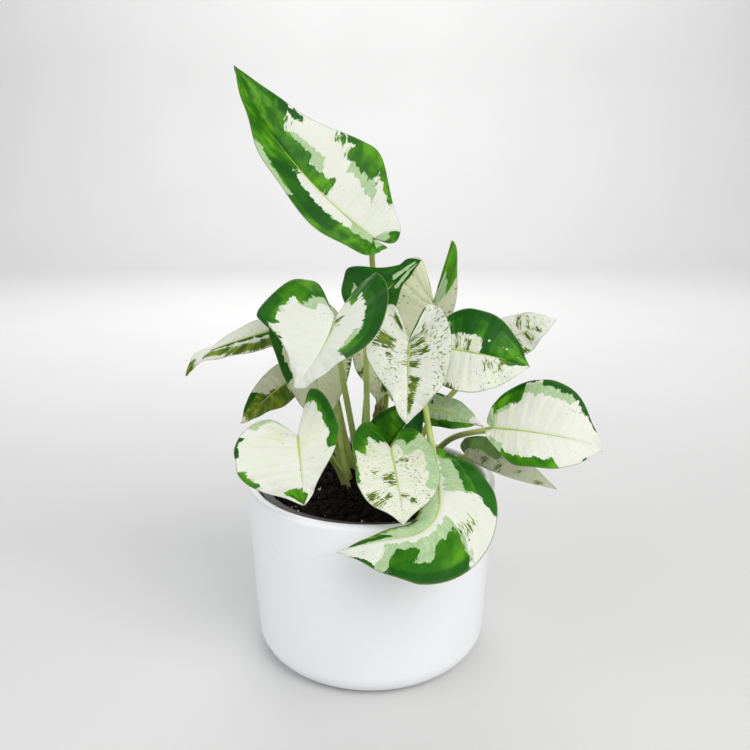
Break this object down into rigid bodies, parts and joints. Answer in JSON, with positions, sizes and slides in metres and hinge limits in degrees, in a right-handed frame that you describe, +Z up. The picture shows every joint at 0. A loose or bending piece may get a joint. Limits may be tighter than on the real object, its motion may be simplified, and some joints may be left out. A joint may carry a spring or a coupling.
{
  "type": "potted pothos plant",
  "caption": "Young variegated pothos in a plain white cover pot: heart-shaped green and cream leaves on long stalks, the topmost standing tall, over dark soil.",
  "frame": {"origin": "centre of the cover pot's flat underside", "axes": "+Z up along the pot's axis; -Y is the front, the side the leaves mostly face; +X is the viewer's right from the front"},
  "size_m": [0.2124, 0.1661, 0.3051],
  "materials": {
    "pot_glaze": "satin",
    "black_plastic": "satin",
    "soil": "matte",
    "stem_skin": "satin",
    "stalk_skin": "satin",
    "blade_skin": "satin"
  },
  "bodies": {
    "root": {"pot": "pot_glaze", "grow_pot": "black_plastic", "soil": "soil", "stem_tall": "stem_skin", "stem_back": "stem_skin", "stem_front": "stem_skin", "stalk_top": "stalk_skin", "stalk_front_left": "stalk_skin", "stalk_dark_back_left": "stalk_skin", "stalk_front_centre": "stalk_skin", "stalk_back_centre": "stalk_skin", "stalk_right_upper": "stalk_skin", "stalk_right_back": "stalk_skin", "stalk_right_front": "stalk_skin", "stalk_right_low": "stalk_skin", "stalk_right_inner": "stalk_skin", "stalk_low_centre": "stalk_skin", "stalk_over_rim": "stalk_skin", "stalk_low_left": "stalk_skin", "stalk_far_left": "stalk_skin", "stalk_left_under": "stalk_skin", "stalk_left_hanging": "stalk_skin", "stalk_middle_back": "stalk_skin", "stalk_dark_centre": "stalk_skin", "stalk_small_back": "stalk_skin", "leaf_top": "blade_skin", "leaf_front_left": "blade_skin", "leaf_dark_back_left": "blade_skin", "leaf_front_centre": "blade_skin", "leaf_back_centre": "blade_skin", "leaf_right_upper": "blade_skin", "leaf_right_back": "blade_skin", "leaf_right_front": "blade_skin", "leaf_right_low": "blade_skin", "leaf_right_inner": "blade_skin", "leaf_low_centre": "blade_skin", "leaf_over_rim": "blade_skin", "leaf_low_left": "blade_skin", "leaf_far_left": "blade_skin", "leaf_left_under": "blade_skin", "leaf_left_hanging": "blade_skin", "leaf_middle_back": "blade_skin", "leaf_dark_centre": "blade_skin", "leaf_small_back": "blade_skin"}
  },
  "joints": []
}
